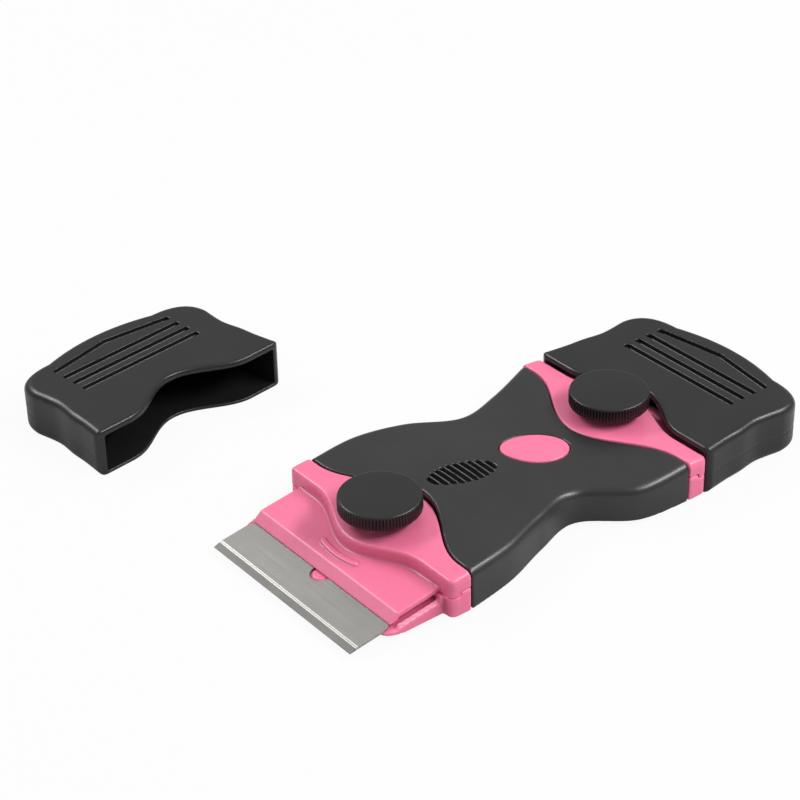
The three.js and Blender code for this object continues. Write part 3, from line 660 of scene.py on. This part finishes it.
def collar_section(y):
    """One ring along the collar: up from the seam, over the crest, down the S and back below."""
    rear = seam(y) + SEAM_GAP / 2
    drop = corner_drop(y)
    front = WING_FRONT + BULGE * swell(y, BULGE_REACH) - drop
    roll = COLLAR_REAR_ROLL
    edge = COLLAR_EDGE
    foot = COLLAR_FOOT * min(max((BLADE_HALF - FOOT_INSET - abs(y)) / FOOT_FADE, FOOT_LEAST), 1)

    def top(x):
        return COLLAR_TOP - drop - (x - COLLAR_CREST) ** 2 / COLLAR_BEND

    ring = [(rear, y, clamp_low)]
    for angle in steps(math.pi, math.pi / 2, 5):
        x = rear + roll + roll * math.cos(angle)
        ring.append((x, y, top(rear + roll) - roll * (1 - math.sin(angle))))
    for x in steps(rear + roll, front - edge, 20)[1:-1]:
        ring.append((x, y, top(x)))
    for angle in steps(math.pi / 2, 0, 10):
        x = front - edge + edge * math.cos(angle)
        ring.append((x, y, top(front - edge) - edge * (1 - math.sin(angle))))
    for angle in steps(0, math.pi / 2, 8):
        reach = front + foot * (1 - math.cos(angle))
        ring.append((reach, y, terrace(reach) - FOOT_SINK + foot * (1 - math.sin(angle))))
    ring.append((front + foot, y, clamp_low))
    return ring


rib_angle = (RIB_SPREAD - RIB_HALF) / RIB_RADIUS
rib_plan = []
for sweep in (1, -1):
    for angle in steps(-rib_angle * sweep, rib_angle * sweep, 24):
        radius = RIB_RADIUS + RIB_HALF * sweep
        rib_plan.append((RIB_CENTRE + radius * math.cos(angle), radius * math.sin(angle)))
    for angle in steps(0, math.pi, 8)[1:-1]:
        radius = RIB_RADIUS + RIB_HALF * sweep * math.cos(angle)
        turn = rib_angle * sweep + RIB_HALF * sweep * math.sin(angle) / RIB_RADIUS
        rib_plan.append((RIB_CENTRE + radius * math.cos(turn), radius * math.sin(turn)))
jaw_outline = [
    (KNOB_X, JAW_ROOT), (BLADE_STOP, JAW_ROOT),
    (BLADE_STOP, jaw_under(BLADE_STOP)), (JAW_FRONT, jaw_under(JAW_FRONT)),
    (JAW_FRONT, jaw_under(JAW_FRONT) + JAW_LIP), (JAW_CREST, terrace(JAW_CREST)), (KNOB_X, terrace(KNOB_X)),
]
rear_clamp = body(
    "rear_clamp_skin", loft([collar_section(y) for y in steps(-WING_HALF, WING_HALF, COLLAR_RINGS)]),
    slab(jaw_outline, -BLADE_HALF, BLADE_HALF),
    loft([[(x, y, terrace(x) + lift) for x, y in rib_plan] for lift in (-RIB_ROOT, RIB_HEIGHT)]),
    drum(KNOB_X, 0, PAD_RADIUS, clamp_low, PAD_TOP),
)
cast(rear_clamp, voxel=0.14, rounds=0, keep=1)
slit_outline = [
    (WING_FRONT, bed(BLADE_STOP)), (JAW_SLIT_END, bed(JAW_SLIT_END)),
    (JAW_SLIT_END, jaw_under(JAW_SLIT_END) + JAW_SLIT), (WING_FRONT, jaw_under(WING_FRONT) + JAW_SLIT),
]
slit_inner = BLADE_HALF - JAW_SLIT_DEPTH
slit_outer = BLADE_HALF + SLIT_SPARE
carve(
    rear_clamp, slab(slit_outline, slit_inner, slit_outer), slab(slit_outline, -slit_outer, -slit_inner),
    tab(1, OVAL_GAP), tab(-1, OVAL_GAP),
    drum(KNOB_X, 0, STUD_ROOM, 0, CUT_CEILING), drum(KNOB_X, 0, RING_ROOM, 0, clamp_low + RING_HEIGHT),
)
cast(rear_clamp, voxel=0.12, rounds=10, keep=0.3)
front_clamp = turned_half(rear_clamp, "front_clamp_skin")
dress(rear_clamp, pink, "rear_clamp", "pink_plastic", "rear_clamp")
dress(front_clamp, pink, "front_clamp", "pink_plastic", "front_clamp")

# Knobs: thumb knobs in a blacker plastic than the grip, turned to draw the clamps down. The rim has
# eighty fine ridges between two plain lips, the top is very slightly domed inside a small chamfer,
# and a hub below bears on the clamp's pad. The steel stud is moulded in.
KNOB_BOTTOM = 10.3
KNOB_TOP = 13.6
KNOB_RADIUS = 7.6
KNOB_RIDGES = 80
RIDGE_DEPTH = 0.3
RIDGE_SAMPLES = 8
HUB_RADIUS = 4.7
HUB_BREAK = 0.15
HUB_GAP = 0.05
HUB_FILLET = (0.2, 0.1)
STUD_BORE = 2.05
STUD_TOP = 12.6
FACE_INSET = 0.55
FACE_DROP = 0.25
FACE_RINGS = 14
LOWER_LIP = ((0.75, 0, 0), (0.4, 0.04, 0), (0.3, 0.12, 0), (0.12, 0.3, 0.6), (0, 0.42, 1))
UPPER_LIP = (
    (0, 0.95, 1), (0.02, 0.72, 0.85), (0.08, 0.6, 0.1), (0.1, 0.54, 0), (0.12, 0.46, 0),
    (0.2, 0.36, 0), (0.34, 0.29, 0), (FACE_INSET, FACE_DROP, 0),
)


def knob_ring(radius, z, ridge):
    count = KNOB_RIDGES * RIDGE_SAMPLES
    ring = []
    for i in range(count):
        turn = 2 * math.pi * i / count
        wave = 0.5 - 0.5 * math.cos(2 * math.pi * i / RIDGE_SAMPLES)
        reach = radius - ridge * RIDGE_DEPTH * wave**1.6
        ring.append((KNOB_X + reach * math.cos(turn), reach * math.sin(turn), z))
    return ring


black = moulded(
    "black_moulding", grey(0.0095), grey(0.0135), gloss=0.32, grain=0.04, painted_edge_highlight=0.12, Specular_IOR_Level=0.47,
)

hub_low = PAD_TOP + HUB_GAP
knob_profile = [
    (STUD_BORE, STUD_TOP, 0), (STUD_BORE, hub_low, 0),
    (HUB_RADIUS - HUB_BREAK, hub_low, 0), (HUB_RADIUS, hub_low + HUB_BREAK, 0),
    (HUB_RADIUS, KNOB_BOTTOM - HUB_FILLET[1], 0), (HUB_RADIUS + HUB_FILLET[0], KNOB_BOTTOM, 0),
]
knob_profile += [(KNOB_RADIUS - inset, KNOB_BOTTOM + rise, ridge) for inset, rise, ridge in LOWER_LIP]
knob_profile += [(KNOB_RADIUS - inset, KNOB_TOP - drop, ridge) for inset, drop, ridge in UPPER_LIP]
for share in steps(1, 0, FACE_RINGS)[1:-1]:
    knob_profile.append(((KNOB_RADIUS - FACE_INSET) * share, KNOB_TOP - FACE_DROP * share**2, 0))
rear_knob = body("rear_knob_skin", loft([knob_ring(*point) for point in knob_profile]))
rear_knob.data.shade_smooth()
mark_edges(rear_knob)
front_knob = turned_half(rear_knob, "front_knob_skin")
dress(rear_knob, black, "rear_knob", "charcoal_plastic", "rear_knob")
dress(front_knob, black, "front_knob", "charcoal_plastic", "front_knob")

# Studs, nuts, retaining rings and case screws: bright zinc-plated steel, hidden but for the screw
# heads and the nuts under the tool. The turned and pressed shapes get broken edges here.
EDGE_BREAK = 0.12
WELD_REACH = 0.002


def break_edges(made, width, least_angle):
    broken = made.modifiers.new("broken_edges", "BEVEL")
    broken.width = width * MM
    broken.segments = 2
    broken.limit_method = "ANGLE"
    broken.angle_limit = math.radians(least_angle)


zinc, wire, shader = finish("bright_zinc", Metallic=1.0)
place = wire.node("TexCoord", {}, out="Object")
cloud = wire.node("TexNoise", {"Vector": place, "Scale": 1400, "Detail": 4})
flecks = wire.node("TexVoronoi", {"Vector": place, "Scale": 2600})
tint = wire.node("ValToRGB", {"Fac": cloud}, stops=((0.3, (0.44, 0.44, 0.43)), (0.7, (0.6, 0.6, 0.58))))
feed(wire, shader, Base_Color=tint, Roughness=0.26 + cloud * 0.14 + flecks * 0.08)
hardware = [f"case_screw_{i}" for i in range(1, 5)]
for end in ("front", "rear"):
    hardware += [f"{end}_{piece}" for piece in ("clamp_stud", "clamp_nut", "retaining_ring")]
for name in hardware:
    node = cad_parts[name]
    weld = node.modifiers.new("weld", "WELD")
    weld.merge_threshold = WELD_REACH * MM
    break_edges(node, EDGE_BREAK, least_angle=25)
    node.data.materials.clear()
    node.data.materials.append(zinc)

# Blades: ground steel plates with a tang under the jaw, round rear corners and a peg hole. The flat
# is brushed along the edge. Thin bright lines along both edges of the lapped facet are painted
# highlights. The ground bevel is rougher and darker, and its darker tone is painted shade.
BLADE_TANG = 16
BLADE_CORNER = 2.5
BLADE_LAND = 0.08
BLADE_GAP = 0.05
BLADE_HONE = 0.03
GRIND = 1.8
LAPPED = 0.55
LAP_DROP = 0.06
GLINT_WIDTH = 0.16
PEG_HOLE = 2.05

steel, wire, shader = finish("brushed_steel", Metallic=1.0)
place = wire.node("TexCoord", {}, out="Object")
along = wire.node("SeparateXYZ", {"Vector": place}, out="X")
from_edge = BLADE_EDGE * MM - wire.math("ABSOLUTE", along)
stretch = wire.node("Mapping", {"Vector": place, "Scale": (9000, 60, 60)})
brush = wire.node("TexNoise", {"Vector": stretch, "Scale": 1, "Detail": 3})
stain = wire.node("TexNoise", {"Vector": place, "Scale": 160, "Detail": 3})
# The ground bevel: its extra roughness is real, and its darker tone is painted shade.
bevel_grind_and_shade = wire.math("LESS_THAN", from_edge, (GRIND - LAPPED) * MM)
# Painted highlights: a thin bright line along each edge of the lapped facet.
ridge_glints = 0.0
for line in (GRIND, GRIND - LAPPED + GLINT_WIDTH):
    over = wire.math("LESS_THAN", from_edge, line * MM)
    ridge_glints = over - wire.math("LESS_THAN", from_edge, (line - GLINT_WIDTH) * MM) + ridge_glints
tone = 0.35 + brush * 0.16 + (stain - 0.5) * 0.08 + ridge_glints * 0.3 - bevel_grind_and_shade * 0.22
warm = wire.node("CombineColor", {"Red": tone, "Green": tone * 0.985, "Blue": tone * 0.93})
feed(wire, shader, Base_Color=warm, Roughness=0.34 + brush * 0.16 + bevel_grind_and_shade * 0.2)


def on_blade(x, height):
    return (x, bed(x) + BLADE_GAP + height)


shoulder = JAW_FRONT - BLADE_CORNER / 2
tang_end = BLADE_STOP + OVAL_GAP
blade_plan = [(BLADE_EDGE, BLADE_HALF)]
for angle in steps(0, math.pi / 2, 12):
    across = BLADE_HALF - BLADE_CORNER * (1 - math.cos(angle))
    blade_plan.append((shoulder + BLADE_CORNER * (1 - math.sin(angle)), across))
blade_plan += [(shoulder, BLADE_TANG), (tang_end, BLADE_TANG)]
blade_plan += [(x, -y) for x, y in reversed(blade_plan)]
blade_outline = [
    on_blade(tang_end, 0), on_blade(BLADE_EDGE, 0), on_blade(BLADE_EDGE, BLADE_LAND),
    on_blade(BLADE_EDGE - GRIND + LAPPED, BLADE_THICKNESS - LAP_DROP),
    on_blade(BLADE_EDGE - GRIND, BLADE_THICKNESS), on_blade(tang_end, BLADE_THICKNESS),
]
rear_blade = body("rear_blade_skin", slab(blade_outline, -BLADE_HALF - CUT_SPARE, BLADE_HALF + CUT_SPARE))
carve(rear_blade, prism(blade_plan, CUT_FLOOR, CUT_CEILING), how="INTERSECT")
carve(rear_blade, drum(PEG_X, PEG_Y, PEG_HOLE, CUT_FLOOR, CUT_CEILING))
front_blade = turned_half(rear_blade, "front_blade_skin")
for blade in (rear_blade, front_blade):
    break_edges(blade, BLADE_HONE, least_angle=40)
dress(rear_blade, steel, "handle", "blade_steel", "rear_blade")
dress(front_blade, steel, "handle", "blade_steel", "front_blade")

# Caps: push-on guards in the knobs' black plastic, moulded hollow with a rolled rim, hollow flanks
# and a bowed end. Four finger grooves cross the top, the last one bent, and the mould's parting line
# runs round the side. The rear cap is on; the front cap lies beside the tool on its flat side.
CAP_MOUTH = 30.88
CAP_END = 60.06
CAP_HEIGHT = 9.9
CAP_HALF = 22.3
CAP_FLARE = 1
CAP_THROAT_X = 36.08
CAP_THROAT = 0.3
CAP_BED_X = 40.13
CAP_WAIST_X = 45.08
CAP_WAIST = 0.65
CAP_CORNER = 9
CAP_BOW = 2.1
CAP_ROLL = 1.5
CAP_WALL = 1
CAP_FLOOR = 0.8
CAP_ROOF = 1.4
CAP_PARTING = 4.4
CAP_LINE_HALF = 0.2
CAP_LINE_DEPTH = 0.16
MOUTH_GAP = 0.32
MOUTH_BULGE = 5.9
MOUTH_ROLL = 0.7
MOUTH_FOOT = 0.3
MOUTH_CORNER = 1.7
MOUTH_SPARE = 0.2
MOUTH_SKIN = 0.01
MOUTH_STEPS = 320
MOUTH_BACK = 20
LIP_FLARE = 0.15
GROOVES = 4
GROOVE_FIRST = 45
GROOVE_PITCH = 2.95
GROOVE_HALF = 14.5
GROOVE_WIDE = 0.64
GROOVE_DEEP = 1.05
GROOVE_BEND = 2.1
LOOSE_TURN = math.radians(97.6)
LOOSE_PLACE = (-29.1, 57, 0)


def curve(start, control, end, count):
    return [
        tuple((1 - t) ** 2 * a + 2 * t * (1 - t) * b + t**2 * c for a, b, c in zip(start, control, end))
        for t in steps(0, 1, count)
    ]


def cap_plan(wall, rear, flare):
    half = CAP_HALF - wall
    end = CAP_END - wall
    corner = CAP_CORNER - wall / 2
    flank = through(
        (CAP_MOUTH, CAP_THROAT_X, CAP_BED_X, CAP_WAIST_X, end - corner),
        (half + flare, half + CAP_THROAT * flare, half, half - CAP_WAIST, half),
    )
    side = [(rear, half + flare)]
    side += [(x, flank(x)) for x in steps(CAP_MOUTH, end - corner, 70)]
    side += curve((end - corner, half), (end - CAP_BOW, half), (end - CAP_BOW, half - corner), 24)[1:]
    bow = curve((end - CAP_BOW, half - corner), (end + CAP_BOW, 0), (end - CAP_BOW, corner - half), 40)
    return side + bow[1:-1] + [(x, -y) for x, y in reversed(side)]


def groove(x, bend):
    front = [(x + GROOVE_WIDE, -GROOVE_HALF), (x + GROOVE_WIDE + bend, 0), (x + GROOVE_WIDE, GROOVE_HALF)]
    back = [(x - GROOVE_WIDE, GROOVE_HALF), (x - GROOVE_WIDE + bend, 0), (x - GROOVE_WIDE, -GROOVE_HALF)]
    return prism(front + back, CAP_HEIGHT - GROOVE_DEEP, CUT_CEILING)


def mouth_ring(z, draw):
    """What the mouth cuts away at one height: all that lies behind its S-shaped edge."""
    half = CAP_HALF + CAP_FLARE
    ys = steps(-half - MOUTH_SPARE, half + MOUTH_SPARE, MOUTH_STEPS)
    ring = []
    for y in ys:
        over = min(max(0, abs(y) - half + MOUTH_CORNER), MOUTH_CORNER)
        turned = MOUTH_CORNER - math.sqrt(MOUTH_CORNER**2 - over**2)
        ring.append((WING_FRONT + MOUTH_BULGE * swell(y, BULGE_REACH) + MOUTH_GAP + draw + turned, y, z))
    return ring + [(MOUTH_BACK, y, z) for y in reversed(ys)]


def quarter_roll(radius, count):
    """Heights and insets of a rolled edge, from its face to its side."""
    angles = steps(0, math.pi / 2, count)
    return [(radius * (1 - math.cos(a)), radius * (1 - math.sin(a))) for a in angles]


cap_roll = quarter_roll(CAP_ROLL, 10)
cap_levels = cap_roll + [
    (CAP_PARTING - CAP_LINE_HALF, 0), (CAP_PARTING, CAP_LINE_DEPTH), (CAP_PARTING + CAP_LINE_HALF, 0),
]
cap_levels += [(CAP_HEIGHT - rise, draw) for rise, draw in reversed(cap_roll)]
cap_rings = [[(x, y, z) for x, y in cap_plan(draw, KNOB_X, CAP_FLARE)] for z, draw in cap_levels]
rear_cap = body("rear_cap_skin", loft(cap_rings))
mouth_levels = [(-MOUTH_SKIN, MOUTH_FOOT), *quarter_roll(MOUTH_FOOT, 8)]
mouth_levels += [(CAP_HEIGHT - rise, draw) for rise, draw in reversed(quarter_roll(MOUTH_ROLL, 8))]
mouth_levels.append((CAP_HEIGHT + MOUTH_SKIN, MOUTH_ROLL))
carve(
    rear_cap, prism(cap_plan(CAP_WALL, MOUTH_BACK, LIP_FLARE), CAP_FLOOR, CAP_HEIGHT - CAP_ROOF),
    loft([mouth_ring(z, draw) for z, draw in mouth_levels]),
)
grooves = []
for i in range(GROOVES):
    grooves.append(groove(GROOVE_FIRST + i * GROOVE_PITCH, GROOVE_BEND if i == GROOVES - 1 else 0))
carve(rear_cap, *grooves)
cast(rear_cap, voxel=0.15, rounds=18, keep=0.3)
front_cap = bpy.data.objects.new("front_cap_skin", rear_cap.data.copy())
bpy.context.scene.collection.objects.link(front_cap)
loose = Matrix.Translation(Vector(LOOSE_PLACE) * MM) @ Matrix.Rotation(LOOSE_TURN, 4, "Z")
front_cap.data.transform(loose @ Matrix.Translation((-CAP_MOUTH * MM, 0, 0)))
dress(rear_cap, black, "rear_cap", "charcoal_plastic", "rear_cap")
dress(front_cap, black, "front_cap", "charcoal_plastic", "front_cap")

# Studio: a plain pale floor that takes a faint shadow, a white surround, one large soft light over
# the near side and a weaker one behind, and the camera that the photo was taken with.
FLOOR_REACH = 3
CAMERA_TARGET = (7.168, 38.19, 0.9)
CAMERA_TURN = math.radians(-37.544)
CAMERA_RISE = math.radians(31.65)
CAMERA_ROLL = math.radians(-1.364)
CAMERA_AWAY = 446.557
CAMERA_LENS = 102.4

scene = bpy.context.scene
scene.view_settings.view_transform = "Standard"
ground_mesh = bmesh.new()
bmesh.ops.create_grid(ground_mesh, x_segments=1, y_segments=1, size=FLOOR_REACH)
floor = body("studio_floor", ground_mesh)
floor_look = bpy.data.materials.new("pale_floor")
floor_look.use_nodes = True
tree = floor_look.node_tree
tree.nodes.clear()
wire = Wire(tree)
seen = wire.node("LightPath", {}, out="Is Camera Ray")
matt = wire.node("BsdfDiffuse", {"Color": (0.6, 0.6, 0.6, 1)})
white = wire.node("Emission", {"Color": (1, 1, 1, 1), "Strength": 1.0})
mixed = wire.node("MixShader", {0: seen * 0.94, 1: matt, 2: white})
out = tree.nodes.new("ShaderNodeOutputMaterial")
tree.links.new(mixed.out, out.inputs["Surface"])
floor.data.materials.append(floor_look)

world = bpy.data.worlds.new("studio")
world.use_nodes = True
scene.world = world
wire = Wire(world.node_tree)
seen = wire.node("LightPath", {}, out="Is Camera Ray")
height = wire.node("SeparateXYZ", {"Vector": wire.node("TexCoord", {}, out="Object")}, out="Z")
glow = wire.node("ValToRGB", {"Fac": height}, stops=((0.0, grey(0.24)), (0.9, grey(0.64))))
shade = wire.node("MixRGB", {"Fac": seen, "Color1": glow, "Color2": (1, 1, 1, 1)})
world.node_tree.links.new(shade.out, world.node_tree.nodes["Background"].inputs["Color"])


def softbox(name, place, aim, size, power):
    lamp = bpy.data.lights.new(name, "AREA")
    lamp.shape = "RECTANGLE"
    lamp.size, lamp.size_y = size
    lamp.energy = power
    made = bpy.data.objects.new(name, lamp)
    made.location = place
    made.rotation_euler = (Vector(aim) - Vector(place)).to_track_quat("-Z", "Y").to_euler()
    scene.collection.objects.link(made)


softbox("near_softbox", (0.34, -0.36, 0.52), (0, 0.02, 0), (0.6, 0.1), 4.4)
softbox("back_softbox", (-0.26, 0.58, 0.6), (0, 0.02, 0), (0.5, 0.14), 3.2)

level = Vector((math.cos(CAMERA_TURN), math.sin(CAMERA_TURN), 0))
outward = Vector((math.sin(CAMERA_TURN), -math.cos(CAMERA_TURN), 0))
back = outward * math.cos(CAMERA_RISE) + Vector((0, 0, math.sin(CAMERA_RISE)))
above = back.cross(level)
right = level * math.cos(CAMERA_ROLL) + above * math.sin(CAMERA_ROLL)
up = above * math.cos(CAMERA_ROLL) - level * math.sin(CAMERA_ROLL)
optics = bpy.data.cameras.new("photo_camera")
optics.lens = CAMERA_LENS
optics.sensor_width = 36
optics.clip_start = 0.01
camera = bpy.data.objects.new("photo_camera", optics)
pose = Matrix((right, up, back)).transposed().to_4x4()
pose.translation = Vector(CAMERA_TARGET) * MM + back * CAMERA_AWAY * MM
camera.matrix_world = pose
scene.collection.objects.link(camera)
scene.camera = camera
